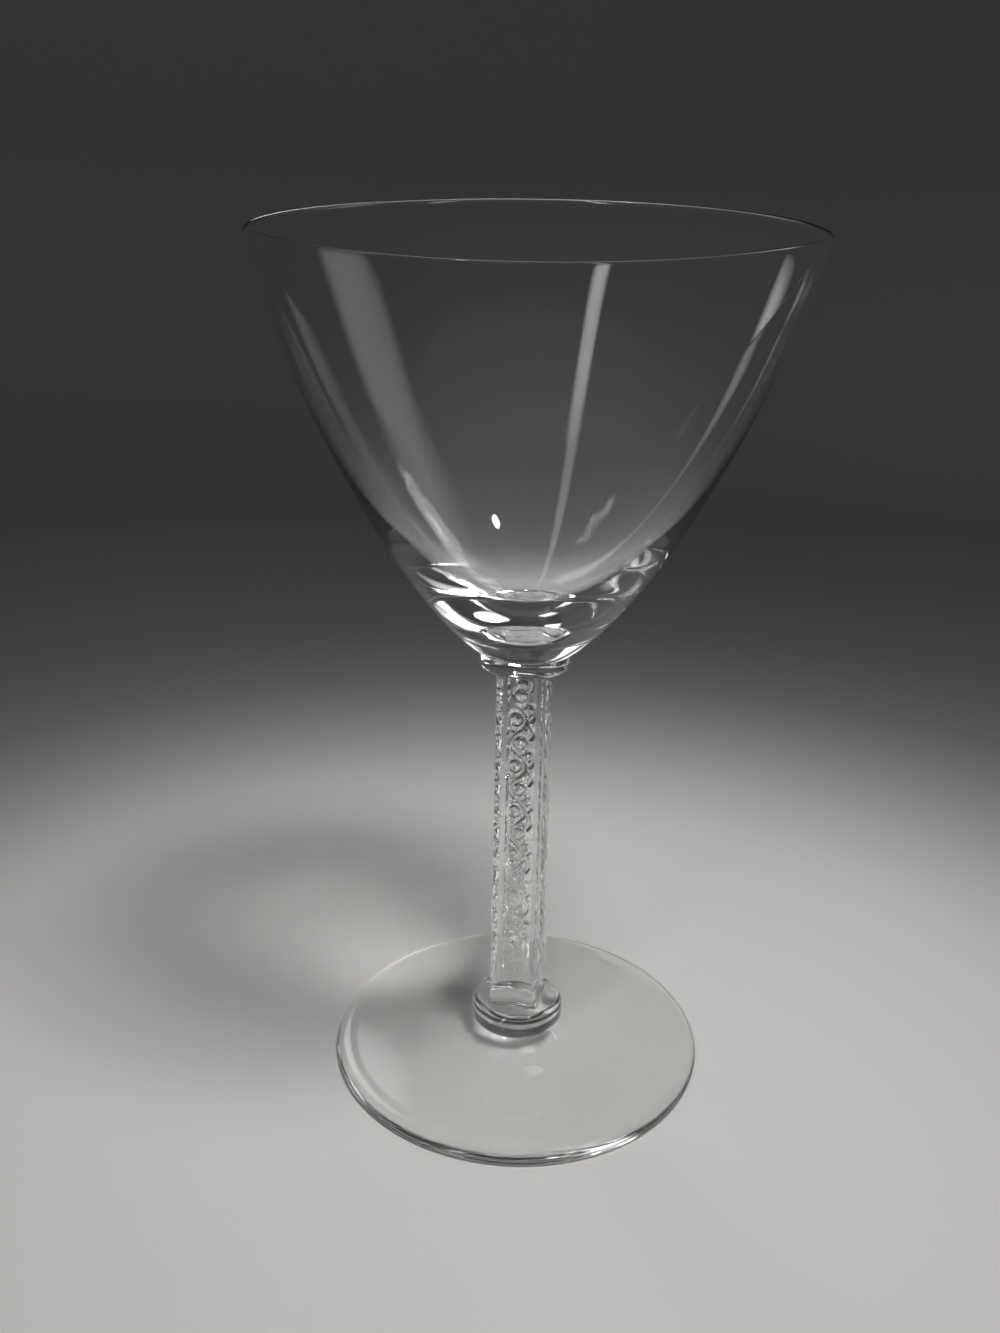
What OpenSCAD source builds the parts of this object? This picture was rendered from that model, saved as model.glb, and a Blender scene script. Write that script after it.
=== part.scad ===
// Stemmed sherbet glass: a thin V-shaped bowl on a square ornamented stem, with a collar at each
// end of the stem, on a round foot. The five glass pieces are joined hot, face to face, along one
// upright axis. Millimetres, +Z up, origin at the centre of the foot's underside.

/* [Foot] */
// Radius of the foot
foot_r = 35; // [28:0.5:45]
// Bevel of the ground lower edge
foot_bevel = 0.6; // [0.1:0.1:1.2]
// Height of the upright part of the foot's side
foot_side_h = 0.3; // [0.2:0.1:2]
// How far the rounding of the upper edge rises from the side
foot_round_rise = 1.3; // [0.5:0.1:3]
// How far the rounding of the upper edge runs in from the side
foot_round_run = 3.2; // [1:0.1:6]
// How much thicker the foot is in the middle than at its edge
foot_middle_rise = 2.6; // [0.4:0.1:4]

/* [Lower collar] */
// Flat ledge around the corners of the stem's lower end
lower_ledge = 0.7; // [0.5:0.1:4]
// Radius of the rounding at the upper edge
lower_collar_round = 2; // [0.5:0.1:2.5]
// Height of the upright part of the side
lower_collar_side = 1.6; // [0.5:0.1:4]
// Radius of the rounding where the collar meets the foot
lower_collar_heel = 1.3; // [0.2:0.1:2]

/* [Stem] */
// Width of the square stem at the bottom
stem_bottom_w = 9.1; // [8.6:0.1:11]
// Width of the square stem at the top
stem_top_w = 8.6; // [7.5:0.1:9.1]
// Length of the stem between the collars
stem_len = 66.5; // [50:0.5:90]
// Chamfer along the four corners
stem_chamfer = 0.5; // [0.2:0.1:1]

/* [Ornament] */
// Plain width of face on either side of the sunk panel, at the top of the stem
panel_margin = 2.3; // [1.6:0.1:2.5]
// Depth of the sunk panel
panel_depth = 0.6; // [0.4:0.05:0.9]
// Plain length of stem below the panel
panel_foot_gap = 6.8; // [2:0.2:16]
// Plain length of stem above the panel
panel_head_gap = 0.8; // [0.4:0.1:10]
// How far the rings stand to either side of the panel's middle line, in turn
ring_shift = 0.4; // [0.1:0.05:0.45]
// Gap between a ring and the panel's nearer edge
ring_gap = 0.15; // [0.1:0.05:0.4]
// Space along the panel from one ring to the next
ring_space = 1.5; // [0.4:0.1:3]
// Width of the raised band of a ring
ring_band = 0.45; // [0.3:0.05:0.5]
// Gap between a ring's band and the bead inside it
bead_gap = 0.4; // [0.2:0.05:0.5]
// How far the ornament stays below the stem's face
ornament_drop = 0.1; // [0.05:0.05:0.3]

/* [Upper collar] */
// Flat ledge around the corners of the stem's upper end
upper_ledge = 0.9; // [0.4:0.1:4]
// How far the rounding of the lower edge runs out from the ledge
upper_collar_run = 1.2; // [0.4:0.1:2.5]
// How far the rounding of the lower edge rises from the ledge
upper_collar_rise = 0.9; // [0.3:0.1:2.5]
// Height of the upright part of the side, up to the bowl
upper_collar_side = 1.9; // [0.4:0.1:3]

/* [Bowl] */
// Outer radius at the rim
rim_r = 45; // [36:0.5:54]
// Height of the bowl
bowl_h = 67.4; // [55:0.1:85]
// Wall thickness at the rim
rim_wall = 0.9; // [0.7:0.1:1.5]
// Angle of the wall from upright at the rim
rim_angle = 9; // [4:1:14]
// Length over which the outside keeps the rim's angle
rim_pull = 14; // [8:0.5:20]
// Angle of the outside from upright where it leaves the collar
base_angle = 57; // [45:1:62]
// Length over which the outside keeps the angle at the collar
base_pull = 19.5; // [16:0.5:26]
// Thickness of the solid glass under the drink
bowl_bottom_t = 6.4; // [5:0.2:11]
// How far the flat of the inside's bottom spreads past the turn of the outside
inside_spread = 0.8; // [-3:0.1:1]
// Length over which the inside keeps the rim's angle
inside_pull = 8; // [4:0.5:12]

/* [Hidden] */
$fn = 96;

// Points along each drawn curve of the bowl, and along each rounded edge
curve_steps = 32;
edge_steps = 6;

// Heights that follow from the edges of the foot and of the collars
foot_edge_h = foot_bevel + foot_side_h + foot_round_rise;
foot_middle_h = foot_edge_h + foot_middle_rise;
lower_collar_h = lower_collar_heel + lower_collar_side + lower_collar_round;
upper_collar_h = upper_collar_rise + upper_collar_side;

// Levels of the faces at which the pieces are joined
lower_collar_z = foot_middle_h;
stem_z = lower_collar_z + lower_collar_h;
upper_collar_z = stem_z + stem_len;
bowl_z = upper_collar_z + upper_collar_h;

// Width of the stem across its chamfered corners, and the collars that take its ends
corner_bottom_w = sqrt(2) * (stem_bottom_w - stem_chamfer);
corner_top_w = sqrt(2) * (stem_top_w - stem_chamfer);
lower_collar_r = corner_bottom_w / 2 + lower_ledge + lower_collar_round;
upper_collar_r = corner_top_w / 2 + upper_ledge + upper_collar_run;

// Panels, in the plane of a face that leans in with the stem's taper
stem_tilt = atan((stem_bottom_w - stem_top_w) / 2 / stem_len);
panel_w = stem_top_w - 2 * panel_margin;
panel_len = stem_len - panel_foot_gap - panel_head_gap;

// Rings and beads of the ornament, spread along the panel, and how deep they are rooted under it
ring_r = panel_w / 2 - ring_shift - ring_gap;
bead_r = ring_r - ring_band - bead_gap;
ring_pitch = 2 * ring_r + ring_space;
ring_count = floor((panel_len - 2 * ring_r) / ring_pitch);
ring_start = panel_foot_gap + (panel_len - (ring_count - 1) * ring_pitch) / 2;
ornament_root = panel_depth / 3;
ornament_h = ornament_root + panel_depth - ornament_drop;

// The bowl's outside and inside, each as the four control points of one curve, [radius, height]
rim_top = bowl_h - rim_wall / 2;
rim_lean = [sin(rim_angle), cos(rim_angle)];
outside_rim = [rim_r, rim_top];
inside_rim = [rim_r - rim_wall, rim_top];
outside_turn = [upper_collar_r + base_pull * sin(base_angle), base_pull * cos(base_angle)];
inside_turn = [outside_turn[0] + inside_spread, bowl_bottom_t];
outside = [[upper_collar_r, 0], outside_turn, outside_rim - rim_pull * rim_lean, outside_rim];
inside = [[0, bowl_bottom_t], inside_turn, inside_rim - inside_pull * rim_lean, inside_rim];

glass = [0.86, 0.9, 0.9, 0.45];

// Point at t, from 0 to 1, on the cubic curve with control points p
function curve_at(p, t) =
    pow(1 - t, 3) * p[0] + 3 * pow(1 - t, 2) * t * p[1] + 3 * (1 - t) * t * t * p[2] + pow(t, 3) * p[3];

// Points along the cubic curve with control points p
function curve(p) = [for (i = [0:curve_steps]) curve_at(p, i / curve_steps)];

// Points along an arc about centre c with half-axes r, from angle a to angle b
function arc(c, r, a, b) =
    [for (i = [0:edge_steps]) let (w = a + (b - a) * i / edge_steps) c + [r[0] * cos(w), r[1] * sin(w)]];

function reversed(p) = [for (i = [len(p) - 1:-1:0]) p[i]];

// Solid turned about the upright axis from an outline of [radius, height] points
module turned(points) {
    rotate_extrude() polygon(points);
}

// Flat disc, ground below, with a rounded upper edge and a slight rise to the middle
module foot() {
    edge = arc([foot_r - foot_round_run, foot_bevel + foot_side_h],
               [foot_round_run, foot_round_rise], 0, 90);
    color(glass) turned(concat([[0, 0], [foot_r - foot_bevel, 0], [foot_r, foot_bevel]], edge,
                               [[lower_collar_r, foot_middle_h], [0, foot_middle_h]]));
}

// Rounded ring of glass between the foot and the stem
module lower_collar() {
    heel = arc([lower_collar_r - lower_collar_heel, lower_collar_heel],
               [lower_collar_heel, lower_collar_heel], -90, 0);
    brow = arc([lower_collar_r - lower_collar_round, lower_collar_h - lower_collar_round],
               [lower_collar_round, lower_collar_round], 0, 90);
    color(glass) translate([0, 0, lower_collar_z])
        turned(concat([[0, 0]], heel, brow, [[0, lower_collar_h]]));
}

// Slab as long as the stem, tapered from one width to another across X
module tapered_slab(bottom_w, top_w) {
    rotate([90, 0, 0]) linear_extrude(2 * stem_bottom_w, center = true)
        polygon([[-bottom_w / 2, 0], [bottom_w / 2, 0], [top_w / 2, stem_len], [-top_w / 2, stem_len]]);
}

// Plain square bar with chamfered corners
module stem_bar() {
    intersection() {
        tapered_slab(stem_bottom_w, stem_top_w);
        rotate(90) tapered_slab(stem_bottom_w, stem_top_w);
        rotate(45) tapered_slab(corner_bottom_w, corner_top_w);
        rotate(135) tapered_slab(corner_bottom_w, corner_top_w);
    }
}

// Places its children on each face of the stem: X across the face, Z up it, +Y into the glass
module on_each_face() {
    for (turn = [0:90:270])
        rotate(turn) translate([0, -stem_bottom_w / 2, 0]) rotate([-stem_tilt, 0, 0]) children();
}

// The space that a sunk panel takes out of a face
module panel() {
    translate([-panel_w / 2, -panel_depth, panel_foot_gap]) cube([panel_w, 2 * panel_depth, panel_len]);
}

// Row of rings, to either side of the middle line in turn, with a bead in each
module ornament() {
    for (i = [0:ring_count - 1]) {
        side = i % 2 == 0 ? 1 : -1;
        translate([side * ring_shift, panel_depth + ornament_root, ring_start + i * ring_pitch])
            rotate([90, 0, 0]) {
                difference() {
                    cylinder(r = ring_r, h = ornament_h);
                    cylinder(r = ring_r - ring_band, h = ornament_h);
                }
                cylinder(r = bead_r, h = ornament_h);
            }
    }
}

// Square stem with a sunk panel on each face, and the ornament raised in each panel
module stem() {
    color(glass) translate([0, 0, stem_z]) {
        difference() {
            stem_bar();
            on_each_face() panel();
        }
        on_each_face() ornament();
    }
}

// Disc of glass between the stem and the bowl, rounded at its lower edge
module upper_collar() {
    chin = arc([upper_collar_r - upper_collar_run, upper_collar_rise],
               [upper_collar_run, upper_collar_rise], -90, 0);
    color(glass) translate([0, 0, upper_collar_z])
        turned(concat([[0, 0]], chin, [[upper_collar_r, upper_collar_h], [0, upper_collar_h]]));
}

// V-shaped bowl: solid glass at the bottom, thin at the rounded rim
module bowl() {
    lip = arc([rim_r - rim_wall / 2, rim_top], [rim_wall / 2, rim_wall / 2], 0, 180);
    color(glass) translate([0, 0, bowl_z])
        turned(concat([[0, 0]], curve(outside), lip, reversed(curve(inside))));
}

foot();
lower_collar();
stem();
upper_collar();
bowl();
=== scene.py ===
"""Looks of the stemmed sherbet glass: five clear glass pieces on a pale studio floor.

Metres, +Z up, origin at the centre of the foot's underside. The glass is turned about +Z apart from
its square stem, whose faces look along X and Y.
"""
from math import cos, pi, radians, sin, sqrt

import bmesh
import bpy
import numpy as np
from mathutils import Matrix, Vector


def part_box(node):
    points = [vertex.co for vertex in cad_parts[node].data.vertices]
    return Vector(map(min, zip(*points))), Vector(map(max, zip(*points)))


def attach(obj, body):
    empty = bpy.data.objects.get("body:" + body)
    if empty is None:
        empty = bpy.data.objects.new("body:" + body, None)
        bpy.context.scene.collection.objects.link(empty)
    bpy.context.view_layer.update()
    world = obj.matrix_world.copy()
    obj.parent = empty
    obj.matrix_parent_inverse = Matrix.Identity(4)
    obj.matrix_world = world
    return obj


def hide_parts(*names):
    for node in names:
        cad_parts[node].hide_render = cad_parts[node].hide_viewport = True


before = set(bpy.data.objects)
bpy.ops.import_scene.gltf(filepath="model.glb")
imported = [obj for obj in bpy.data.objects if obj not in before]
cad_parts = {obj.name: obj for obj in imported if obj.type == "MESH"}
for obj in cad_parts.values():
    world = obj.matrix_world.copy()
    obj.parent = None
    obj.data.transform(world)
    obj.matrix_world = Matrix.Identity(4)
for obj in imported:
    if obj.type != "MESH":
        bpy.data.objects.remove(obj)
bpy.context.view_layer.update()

MM = 0.001

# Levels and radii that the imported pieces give
FOOT_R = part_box("foot")[1].x
FOOT_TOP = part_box("foot")[1].z
LOWER_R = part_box("lower_collar")[1].x
STEM_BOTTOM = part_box("stem")[0].z
STEM_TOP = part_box("stem")[1].z
STEM_BOTTOM_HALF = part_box("stem")[1].x
UPPER_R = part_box("upper_collar")[1].x
BOWL_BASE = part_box("bowl")[0].z
RIM_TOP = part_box("bowl")[1].z
RIM_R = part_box("bowl")[1].x

# Foot
FOOT_BEVEL = 0.6 * MM
FOOT_SIDE = 0.3 * MM
FOOT_ROUND_RISE = 1.3 * MM
FOOT_ROUND_RUN = 3.2 * MM

# Collars, the radius at which the lower one is fused to the foot, and where on each flat ledge, as a
# share of the way in to the stem, the mesh has a loop between round and square
LOWER_HEEL = 1.3 * MM
LOWER_ROUND = 2.0 * MM
LOWER_SEAT = LOWER_R - LOWER_HEEL
UPPER_RUN = 1.2 * MM
UPPER_RISE = 0.9 * MM
LEDGE_LOOP = 0.4

# Stem
STEM_LENGTH = STEM_TOP - STEM_BOTTOM
STEM_TOP_HALF = 4.3 * MM
STEM_CORNER = 0.55 * MM
WELD_FILLET = 0.5 * MM

# Sunk panel of each face, between two levels up the stem
PANEL_HALF = 2.0 * MM
PANEL_DEPTH = 0.6 * MM
PANEL_LOW = 6.8 * MM
PANEL_HEAD_GAP = 0.8 * MM
PANEL_HIGH = STEM_LENGTH - PANEL_HEAD_GAP
PANEL_SLOPE = 0.35 * MM
PANEL_RUN_OUT = 2.5 * MM

# Running scroll raised in the panel: a waving vine, with a curled tendril in each of its bends
SCROLL_HEIGHT = 0.5 * MM
SCROLL_PITCH = 4.4 * MM
SCROLL_COUNT = 13
SCROLL_SHIFT = 0.4 * MM
WAVE_SWING = 1.45 * MM
VINE_REACH = 0.75 * MM
TENDRIL_REACH = 0.7 * MM
VOLUTE_START = 2.3 * MM
VOLUTE_OUTER = 1.2 * MM
VOLUTE_INNER = 1.1 * MM
VOLUTE_APPROACH = radians(77)
VOLUTE_TURN = radians(330)
VOLUTE_EASE = 1.5

# Bowl
BOWL_WALL = 0.9 * MM
RIM_ANGLE = radians(9)
RIM_PULL = 14 * MM
BASE_ANGLE = radians(57)
BASE_PULL = 19.5 * MM
BOWL_BOTTOM = 6.4 * MM
INSIDE_SPREAD = 0.8 * MM
INSIDE_PULL = 8 * MM

# Glass: tint, bending of light, grain of its waves, and grain and onset of its haze
GLASS_TINT = (0.985, 0.993, 0.99, 1)
GLASS_IOR = 1.52
WAVE_DETAIL = 1
HAZE_SCALE = 55
HAZE_DETAIL = 4
HAZE_FROM = 0.5
HAZE_FULL = 0.85

# Kinds of glass: name, scale of the waves, their depth, and roughness where the haze is full
BLOWN = ("blown_glass", 60, 0.02 * MM, 0.03)
PRESSED = ("pressed_glass", 300, 0.01 * MM, 0.05)
FLATTENED = ("flattened_glass", 45, 0.03 * MM, 0.04)

# Stage: a round floor that rises to a wall
FLOOR_FLAT = 0.75
COVE = 0.35
WALL_TOP = 1.0
FLOOR_GAP = 0.02 * MM

# Painted light on the floor and wall, as distances from the glass with a colour at each: a pale painted
# pool of light around the glass, dark further off, and painted light at the wall, less dark there
# because it gets less light, so that the backdrop looks even
PAINTED_POOL_COLOURS = (
    (0.1, (0.56, 0.55, 0.54, 1)),
    (0.17, (0.24, 0.236, 0.232, 1)),
    (0.24, (0.1, 0.098, 0.096, 1)),
    (0.36, (0.06, 0.059, 0.058, 1)),
    (0.6, (0.06, 0.059, 0.058, 1)),
    (1.15, (0.13, 0.128, 0.126, 1)),
)
PAINTED_POOL_REACH = 1.5
PAPER_ROUGHNESS = 0.9
WORLD_COLOUR = (0.06, 0.06, 0.06, 1)

# Camera, set by the photograph's view of the rim, the foot and the bowl's outline. Its turn about the
# glass is in degrees, as the lamps' are
CAMERA_TURN = 13
CAMERA_YAW = radians(-1.47)
CAMERA_PITCH = radians(16.89)
CAMERA_ROLL = radians(1.01)
CAMERA_DISTANCE = 173.4 * MM
CAMERA_HEIGHT = 128.9 * MM
CAMERA_NEAR = 10 * MM
PHOTO_HEIGHT_PX = 1333
FOCAL_PX = 1022.3
SENSOR_MM = 36

# Lamps: shape, degrees to the right of the camera and up, distance, width, height, brightness
LAMPS = {
    "key_right": ("ELLIPSE", 48, 66, 0.9, 0.3, 0.3, 34),
    "glint_right": ("ELLIPSE", 60, 66, 0.9, 0.08, 0.08, 30),
    "side_right": ("RECTANGLE", 103, 34, 0.7, 0.36, 0.5, 0.9),
    "strip_left": ("RECTANGLE", -34, 30, 0.65, 0.08, 0.6, 3.5),
    "edge_left": ("RECTANGLE", -150, 35, 0.7, 0.2, 0.4, 3.0),
}
LAMP_AIM = 90 * MM
LAMP_EDGE = 4

# Lamps that the surface of the glass doesn't mirror, because they would be large white blots on it
UNMIRRORED = ("key_right",)

# Light paths: how often light passes or is mirrored, and how far the light is blurred that the glass
# gathers on the floor. Without a clamp the floor under the foot gets all of its light
PASSES = 32
MIRRORINGS = 16
GATHERED_BLUR = 0.3
NO_CLAMP = 0

# Fineness of the meshes: points around the axis and along the outlines
ROUND_STEPS = 256
CURVE_STEPS = 90
EDGE_STEPS = 10
FOOT_GROUND_SHARES = (0.3, 0.6, 0.9, 0.98)
FOOT_SIDE_STEPS = 4
FOOT_TOP_STEPS = 24
LOWER_SIDE_STEPS = 5
UPPER_SIDE_STEPS = 4
FLOOR_SHARES = np.linspace(0.05, 0.95, 10)
COVE_STEPS = 24
SHARP_ANGLE = radians(35)

# Fineness of the stem: columns across a face, rows up it, and points along the lines of the scroll
PANEL_COLUMNS = 41
MARGIN_COLUMNS = 2
CORNER_COLUMNS = 4
PANEL_ROWS = 470
FILLET_ROWS = 7
LOW_ROWS = 12
HEAD_ROWS = 4
VINE_POINTS = 900
VOLUTE_POINTS = 150

# Places of the two materials in a piece's slots
GLASS = 0
WELD = 1

ROUND_ANGLES = np.arange(ROUND_STEPS) * 2 * pi / ROUND_STEPS


# Outlines, as lists of (radius, height)
def arc(centre, half_axes, start, end, steps=EDGE_STEPS):
    """Points along an arc about a centre, from one angle in degrees to another."""
    angles = np.radians(np.linspace(start, end, steps + 1))
    return [(centre[0] + half_axes[0] * cos(a), centre[1] + half_axes[1] * sin(a)) for a in angles]


def straight(start, end, steps):
    """Points between two ends of a straight stretch, without the ends."""
    shares = np.linspace(0, 1, steps + 1)[1:-1]
    return [tuple(np.array(start) * (1 - s) + np.array(end) * s) for s in shares]


def curve(controls):
    """Points along the cubic curve with four control points."""
    a, b, c, d = np.array(controls)
    t = np.linspace(0, 1, CURVE_STEPS + 1)[:, None]
    points = (1 - t) ** 3 * a + 3 * (1 - t) ** 2 * t * b + 3 * (1 - t) * t * t * c + t ** 3 * d
    return [tuple(p) for p in points]


# Loops of points around the axis
def loop_at(reach, height):
    """Loop of points at one height, with one reach from the axis or one for each angle."""
    return np.column_stack([
        reach * np.cos(ROUND_ANGLES), reach * np.sin(ROUND_ANGLES), np.full(ROUND_STEPS, height)])


def square_loop(half, corner, height):
    """Loop of points, at the same angles, on a square with rounded corners."""
    folded = np.abs((ROUND_ANGLES + pi / 4) % (pi / 2) - pi / 4)
    along_face = half / np.cos(folded)
    centre = sqrt(2) * (half - corner)
    turn = pi / 4 - folded
    under_root = np.maximum(corner ** 2 - (centre * np.sin(turn)) ** 2, 0)
    along_corner = centre * np.cos(turn) + np.sqrt(under_root)
    on_face = np.tan(folded) <= (half - corner) / half
    return loop_at(np.where(on_face, along_face, along_corner), height)


# Meshes
def piece(name, loops, first_cap=GLASS, last_cap=GLASS, open_first=False):
    """Mesh through loops of equal length, with a fan over the last and, unless left open, the first."""
    mesh = bmesh.new()
    rows = [[mesh.verts.new(p) for p in loop] for loop in loops]
    count = len(rows[0])
    for low, high in zip(rows, rows[1:]):
        for i in range(count):
            j = (i + 1) % count
            mesh.faces.new((low[i], low[j], high[j], high[i]))
    caps = [(rows[-1], loops[-1], last_cap)]
    if not open_first:
        caps.append((rows[0], loops[0], first_cap))
    for row, loop, slot in caps:
        hub = mesh.verts.new(np.mean(loop, axis=0))
        for i in range(count):
            mesh.faces.new((row[i], row[(i + 1) % count], hub)).material_index = slot
    bmesh.ops.recalc_face_normals(mesh, faces=mesh.faces)
    data = bpy.data.meshes.new(name)
    mesh.to_mesh(data)
    mesh.free()
    data.shade_smooth()
    data.set_sharp_from_angle(angle=SHARP_ANGLE)
    made = bpy.data.objects.new(name, data)
    bpy.context.scene.collection.objects.link(made)
    return made


def turned(outline):
    """Loops of a shape that is turned about the axis from an outline."""
    return [loop_at(r, z) for r, z in outline]


def ledge(rim, half, height):
    """Loops over a collar's flat ledge, from its round rim to the edge of the stem's fillet."""
    stem_end = square_loop(half + WELD_FILLET, STEM_CORNER + WELD_FILLET, height)
    return [rim * (1 - LEDGE_LOOP) + stem_end * LEDGE_LOOP, stem_end]


# Foot
def make_foot():
    """Disc with a small bevel below, a rounded upper edge and a slight rise to the middle."""
    edge_top = FOOT_BEVEL + FOOT_SIDE
    ground = FOOT_R - FOOT_BEVEL
    shoulder = (FOOT_R - FOOT_ROUND_RUN, edge_top + FOOT_ROUND_RISE)
    middle = (LOWER_R, FOOT_TOP)
    outline = [(ground * s, 0) for s in FOOT_GROUND_SHARES]
    outline += arc((ground, FOOT_BEVEL), (FOOT_BEVEL, FOOT_BEVEL), -90, 0)
    outline += straight((FOOT_R, FOOT_BEVEL), (FOOT_R, edge_top), FOOT_SIDE_STEPS)
    outline += arc((shoulder[0], edge_top), (FOOT_ROUND_RUN, FOOT_ROUND_RISE), 0, 90, 2 * EDGE_STEPS)
    outline += straight(shoulder, middle, FOOT_TOP_STEPS)
    outline += [middle, (LOWER_SEAT, FOOT_TOP)]
    return piece("foot_glass", turned(outline), last_cap=WELD)


# Collars
def make_lower_collar():
    """Rounded ring of glass, with the stem's end on its flat top."""
    heel_top = FOOT_TOP + LOWER_HEEL
    round_base = STEM_BOTTOM - LOWER_ROUND
    outline = arc((LOWER_SEAT, heel_top), (LOWER_HEEL, LOWER_HEEL), -90, 0)
    outline += straight((LOWER_R, heel_top), (LOWER_R, round_base), LOWER_SIDE_STEPS)
    outline += arc((LOWER_R - LOWER_ROUND, round_base), (LOWER_ROUND, LOWER_ROUND), 0, 90)
    loops = turned(outline)
    loops += ledge(loops[-1], STEM_BOTTOM_HALF, STEM_BOTTOM)
    return piece("lower_collar_glass", loops, first_cap=WELD, last_cap=WELD)


def make_upper_collar():
    """Disc of glass with a rounded lower edge, with the stem's end under it."""
    round_top = STEM_TOP + UPPER_RISE
    outline = arc((UPPER_R - UPPER_RUN, round_top), (UPPER_RUN, UPPER_RISE), -90, 0)
    outline += straight((UPPER_R, round_top), (UPPER_R, BOWL_BASE), UPPER_SIDE_STEPS)
    outline += [(UPPER_R, BOWL_BASE)]
    loops = turned(outline)
    loops = ledge(loops[0], STEM_TOP_HALF, STEM_TOP)[::-1] + loops
    return piece("upper_collar_glass", loops, first_cap=WELD, last_cap=WELD)


# Stem
def smooth_step(x):
    """Smooth rise from 0 at 0 to 1 at 1, level before and after."""
    x = np.clip(x, 0, 1)
    return x * x * (3 - 2 * x)


def ridge(distance, reach):
    """Rounded ridge: 1 on its line, 0 from its reach on."""
    return (1 - np.clip(distance / reach, 0, 1) ** 2) ** 2


def distance_to(points, across, along):
    """Distance from each place of a grid to the nearest of some points."""
    nearest = np.full(across.shape, np.inf)
    for x, y in points:
        nearest = np.minimum(nearest, (across - x) ** 2 + (along - y) ** 2)
    return np.sqrt(nearest)


def volute(side, middle):
    """Points of a tendril that curls in from the vine, about a middle height on one side."""
    turn = np.linspace(-VOLUTE_APPROACH, VOLUTE_TURN, VOLUTE_POINTS)
    share = np.clip(turn / VOLUTE_TURN, 0, 1)
    reach = VOLUTE_OUTER * (VOLUTE_INNER / VOLUTE_OUTER) ** share
    approach = np.clip(-turn / VOLUTE_APPROACH, 0, 1)
    reach = reach + (VOLUTE_START - VOLUTE_OUTER) * approach ** VOLUTE_EASE
    across = side * (SCROLL_SHIFT + reach * np.cos(turn))
    return list(zip(across, middle + reach * np.sin(turn)))


def scroll(across, along):
    """Height, from 0 to 1, of the running scroll on a grid of places, measured up the stem."""
    run = (SCROLL_COUNT - 1) * SCROLL_PITCH
    first = (PANEL_LOW + PANEL_HIGH - run) / 2
    branch = SCROLL_PITCH / 2
    vine_along = np.linspace(first - branch, first + run - branch, VINE_POINTS)
    vine_across = -WAVE_SWING * np.cos(pi * (vine_along - first) / SCROLL_PITCH)
    height = ridge(distance_to(zip(vine_across, vine_along), across, along), VINE_REACH)
    for i in range(SCROLL_COUNT):
        side = 1 if i % 2 == 0 else -1
        middle = first + i * SCROLL_PITCH
        near = np.abs(along[:, 0] - middle) < SCROLL_PITCH
        tendril = ridge(distance_to(volute(side, middle), across[near], along[near]), TENDRIL_REACH)
        height[near] = np.maximum(height[near], tendril)
    return height


def sunk(across, along):
    """Depth of a face's surface below its plane, on a grid of places."""
    inside = smooth_step((PANEL_HALF - np.abs(across)) / PANEL_SLOPE)
    inside *= smooth_step((along - PANEL_LOW) / PANEL_RUN_OUT)
    inside *= smooth_step((PANEL_HIGH - along) / PANEL_SLOPE)
    return inside * (PANEL_DEPTH - SCROLL_HEIGHT * scroll(across, along))


def make_stem():
    """Tapered square bar with rounded corners and sunk panels, flared a little at both ends."""
    fillet = WELD_FILLET * (1 - np.cos(np.linspace(0, pi / 2, FILLET_ROWS)))
    low = np.linspace(WELD_FILLET, PANEL_LOW, LOW_ROWS)[1:-1]
    rows = np.linspace(PANEL_LOW, PANEL_HIGH, PANEL_ROWS)
    head = np.linspace(PANEL_HIGH, STEM_LENGTH - WELD_FILLET, HEAD_ROWS)[1:-1]
    levels = np.concatenate([fillet, low, rows, head, STEM_LENGTH - fillet[::-1]])
    from_end = np.minimum(levels, STEM_LENGTH - levels)
    closeness = np.clip(1 - from_end / WELD_FILLET, 0, 1)
    flare = WELD_FILLET * (1 - np.sqrt(1 - closeness ** 2))
    half = STEM_BOTTOM_HALF + (STEM_TOP_HALF - STEM_BOTTOM_HALF) * levels / STEM_LENGTH + flare
    corner = STEM_CORNER + flare
    flat = half - corner

    # Places across a face: margin, panel, margin, at each level
    panel = np.linspace(-PANEL_HALF, PANEL_HALF, PANEL_COLUMNS)
    share = np.linspace(0, 1, MARGIN_COLUMNS + 1)[:-1]
    left = -flat[:, None] + (flat[:, None] - PANEL_HALF) * share
    across = np.hstack([left, np.tile(panel, (len(levels), 1)), -left[:, ::-1]])
    along = np.tile(levels[:, None], (1, across.shape[1]))
    out = half[:, None] - sunk(across, along)

    # Rounding from the end of one face to the next
    bend = np.linspace(0, pi / 2, CORNER_COLUMNS + 2)[1:-1]
    corner_across = flat[:, None] + corner[:, None] * np.sin(bend)
    corner_out = flat[:, None] + corner[:, None] * np.cos(bend)
    across = np.hstack([across, corner_across])
    out = np.hstack([out, corner_out])

    # The four faces in turn, from the one that looks along -Y
    loops = []
    for a, o, level in zip(across, out, levels):
        sides = [(a, -o), (o, a), (-a, o), (-o, -a)]
        xy = np.hstack([np.vstack(s) for s in sides])
        loops.append(np.column_stack([xy[0], xy[1], np.full(xy.shape[1], STEM_BOTTOM + level)]))
    return piece("stem_glass", loops, first_cap=WELD, last_cap=WELD)


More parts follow.
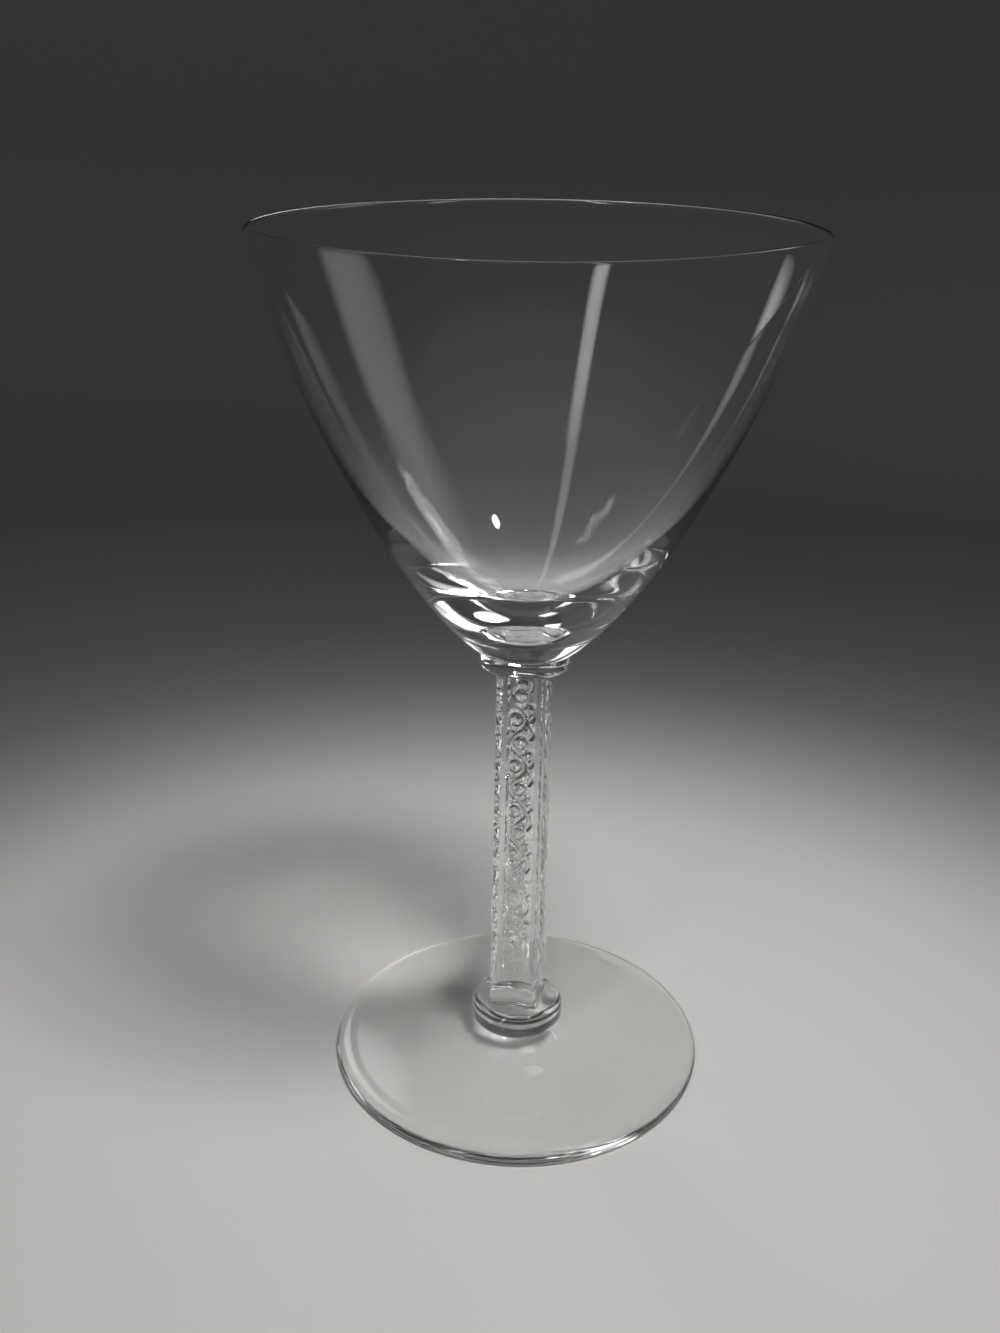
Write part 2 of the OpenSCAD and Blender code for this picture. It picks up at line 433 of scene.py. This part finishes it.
# Bowl
def make_bowl():
    """V-shaped bowl: solid glass at the bottom, thin at the rounded rim."""
    lip = BOWL_WALL / 2
    rim_level = RIM_TOP - lip
    lean = np.array((sin(RIM_ANGLE), cos(RIM_ANGLE)))
    outside_rim = np.array((RIM_R, rim_level))
    inside_rim = np.array((RIM_R - BOWL_WALL, rim_level))
    outside_turn = (UPPER_R + BASE_PULL * sin(BASE_ANGLE), BOWL_BASE + BASE_PULL * cos(BASE_ANGLE))
    bottom = BOWL_BASE + BOWL_BOTTOM
    inside_turn = (outside_turn[0] + INSIDE_SPREAD, bottom)
    outline = curve([(UPPER_R, BOWL_BASE), outside_turn, outside_rim - RIM_PULL * lean, outside_rim])
    outline += arc((RIM_R - lip, rim_level), (lip, lip), 0, 180)[1:-1]
    outline += curve([(0, bottom), inside_turn, inside_rim - INSIDE_PULL * lean, inside_rim])[:0:-1]
    return piece("bowl_glass", turned(outline), first_cap=WELD)


# Materials
def new_material(name, shader_type):
    """Material with one shader on its surface, and with it its node tree and the shader."""
    material = bpy.data.materials.new(name)
    material.use_nodes = True
    tree = material.node_tree
    tree.nodes.clear()
    output = tree.nodes.new("ShaderNodeOutputMaterial")
    shader = tree.nodes.new(shader_type)
    tree.links.new(shader.outputs["BSDF"], output.inputs["Surface"])
    return material, tree, shader


def noise(tree, place, scale, detail):
    """Noise laid out in the piece's own space."""
    made = tree.nodes.new("ShaderNodeTexNoise")
    made.inputs["Scale"].default_value = scale
    made.inputs["Detail"].default_value = detail
    tree.links.new(place.outputs["Object"], made.inputs["Vector"])
    return made.outputs["Fac"]


def maths(tree, operation, *values, clamp=False):
    """Result of one operation on numbers or on the outputs of other nodes."""
    made = tree.nodes.new("ShaderNodeMath")
    made.operation = operation
    made.use_clamp = clamp
    for socket, value in zip(made.inputs, values):
        if isinstance(value, (int, float)):
            socket.default_value = value
        else:
            tree.links.new(value, socket)
    return made.outputs[0]


def glass_material(name, wave_scale, wave_depth, haze):
    """Clear glass with faint waves of its making and a trace of handling haze."""
    material, tree, shader = new_material(name, "ShaderNodeBsdfPrincipled")
    shader.inputs["Base Color"].default_value = GLASS_TINT
    shader.inputs["IOR"].default_value = GLASS_IOR
    shader.inputs["Transmission Weight"].default_value = 1
    place = tree.nodes.new("ShaderNodeTexCoord")

    rough = tree.nodes.new("ShaderNodeMapRange")
    rough.inputs["From Min"].default_value = HAZE_FROM
    rough.inputs["From Max"].default_value = HAZE_FULL
    rough.inputs["To Min"].default_value = 0
    rough.inputs["To Max"].default_value = haze
    tree.links.new(noise(tree, place, HAZE_SCALE, HAZE_DETAIL), rough.inputs["Value"])
    tree.links.new(rough.outputs["Result"], shader.inputs["Roughness"])

    bump = tree.nodes.new("ShaderNodeBump")
    bump.inputs["Strength"].default_value = 1
    bump.inputs["Distance"].default_value = wave_depth
    tree.links.new(noise(tree, place, wave_scale, WAVE_DETAIL), bump.inputs["Height"])
    tree.links.new(bump.outputs["Normal"], shader.inputs["Normal"])
    return material


def weld_material():
    """Where two pieces are fused the glass goes on, so the face between them can't be seen."""
    return new_material("fused_face", "ShaderNodeBsdfTransparent")[0]


def floor_material():
    """Matt paper with painted light: its colour changes with the distance from the glass, a pale pool
    around it.
    """
    material, tree, shader = new_material("floor_painted_pool", "ShaderNodeBsdfPrincipled")
    shader.inputs["Roughness"].default_value = PAPER_ROUGHNESS
    place = tree.nodes.new("ShaderNodeNewGeometry")
    away = tree.nodes.new("ShaderNodeVectorMath")
    away.operation = "LENGTH"
    tree.links.new(place.outputs["Position"], away.inputs[0])
    # Painted light: a pale pool around the glass, dark further off, and lighter at the wall to offset
    # its shade
    ramp = tree.nodes.new("ShaderNodeValToRGB")
    ramp.color_ramp.interpolation = "B_SPLINE"
    stops = ramp.color_ramp.elements
    while len(stops) < len(PAINTED_POOL_COLOURS):
        stops.new(1)
    for stop, (distance, colour) in zip(stops, PAINTED_POOL_COLOURS):
        stop.position = distance / PAINTED_POOL_REACH
        stop.color = colour
    tree.links.new(maths(tree, "DIVIDE", away.outputs["Value"], PAINTED_POOL_REACH), ramp.inputs["Fac"])
    tree.links.new(ramp.outputs["Color"], shader.inputs["Base Color"])
    return material


# Stage, lamps and camera
def make_floor():
    """Floor, painted pale around the glass as a pool of light, that rises in a round cove to a wall on
    every side.
    """
    outline = [(FLOOR_FLAT * s, 0) for s in FLOOR_SHARES]
    outline += arc((FLOOR_FLAT, COVE), (COVE, COVE), -90, 0, COVE_STEPS)
    outline += [(FLOOR_FLAT + COVE, WALL_TOP)]
    loops = turned([(r, z - FLOOR_GAP) for r, z in outline])
    floor = piece("floor", loops[::-1], open_first=True)
    floor.data.materials.append(floor_material())


def soft_edges(data):
    """Let a flat lamp fade towards its edges."""
    data.use_nodes = True
    tree = data.node_tree
    place = tree.nodes.new("ShaderNodeNewGeometry")
    split = tree.nodes.new("ShaderNodeSeparateXYZ")
    tree.links.new(place.outputs["Parametric"], split.inputs[0])
    shares = []
    for axis in ("X", "Y"):
        from_middle = maths(tree, "MULTIPLY_ADD", split.outputs[axis], 2, -1)
        fall = maths(tree, "POWER", maths(tree, "ABSOLUTE", from_middle), LAMP_EDGE)
        shares.append(maths(tree, "SUBTRACT", 1, fall, clamp=True))
    tree.links.new(maths(tree, "MULTIPLY", *shares), tree.nodes["Emission"].inputs["Strength"])


def make_lamp(name, shape, azimuth, elevation, distance, width, height, brightness):
    """Flat lamp that looks at the middle of the glass."""
    data = bpy.data.lights.new(name, "AREA")
    data.shape = shape
    data.size = width
    data.size_y = height
    data.energy = pi * width * height * brightness
    soft_edges(data)
    lamp = bpy.data.objects.new(name, data)
    turn = radians(CAMERA_TURN + azimuth)
    rise = radians(elevation)
    towards = Vector((sin(turn) * cos(rise), -cos(turn) * cos(rise), sin(rise)))
    lamp.location = Vector((0, 0, LAMP_AIM)) + towards * distance
    lamp.rotation_euler = towards.to_track_quat("Z", "Y").to_euler()
    lamp.visible_camera = False
    lamp.visible_glossy = name not in UNMIRRORED
    bpy.context.scene.collection.objects.link(lamp)


def make_camera():
    """Camera of the photograph's view."""
    data = bpy.data.cameras.new("camera")
    data.sensor_width = SENSOR_MM
    data.lens = SENSOR_MM * FOCAL_PX / PHOTO_HEIGHT_PX
    data.clip_start = CAMERA_NEAR
    camera = bpy.data.objects.new("camera", data)
    bpy.context.scene.collection.objects.link(camera)
    ahead = Vector((
        sin(CAMERA_YAW) * cos(CAMERA_PITCH), cos(CAMERA_YAW) * cos(CAMERA_PITCH), -sin(CAMERA_PITCH)))
    right = Vector((cos(CAMERA_YAW), -sin(CAMERA_YAW), 0))
    up = right.cross(ahead)
    tilted_right = right * cos(CAMERA_ROLL) + up * sin(CAMERA_ROLL)
    tilted_up = up * cos(CAMERA_ROLL) - right * sin(CAMERA_ROLL)
    axes = Matrix((tilted_right, tilted_up, -ahead)).transposed().to_4x4()
    place = Matrix.Translation((0, -CAMERA_DISTANCE, CAMERA_HEIGHT)) @ axes
    camera.matrix_world = Matrix.Rotation(radians(CAMERA_TURN), 4, "Z") @ place
    bpy.context.scene.camera = camera


def make_world():
    """Faint even light from all around."""
    world = bpy.data.worlds.new("studio")
    world.use_nodes = True
    background = world.node_tree.nodes["Background"]
    background.inputs["Color"].default_value = WORLD_COLOUR
    bpy.context.scene.world = world


# The scene
make_camera()
make_world()
make_floor()
for lamp_name, lamp_values in LAMPS.items():
    make_lamp(lamp_name, *lamp_values)

blown = glass_material(*BLOWN)
pressed = glass_material(*PRESSED)
flattened = glass_material(*FLATTENED)
weld = weld_material()

PIECES = (
    ("foot", make_foot, flattened),
    ("lower_collar", make_lower_collar, pressed),
    ("stem", make_stem, pressed),
    ("upper_collar", make_upper_collar, pressed),
    ("bowl", make_bowl, blown),
)
for node, make, glass in PIECES:
    made = make()
    made.data.materials.append(glass)
    made.data.materials.append(weld)
    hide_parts(node)
    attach(made, "root")

scene = bpy.context.scene
scene.view_settings.view_transform = "Standard"
scene.cycles.max_bounces = PASSES
scene.cycles.transmission_bounces = PASSES
scene.cycles.glossy_bounces = MIRRORINGS
scene.cycles.transparent_max_bounces = PASSES
scene.cycles.blur_glossy = GATHERED_BLUR
scene.cycles.sample_clamp_indirect = NO_CLAMP
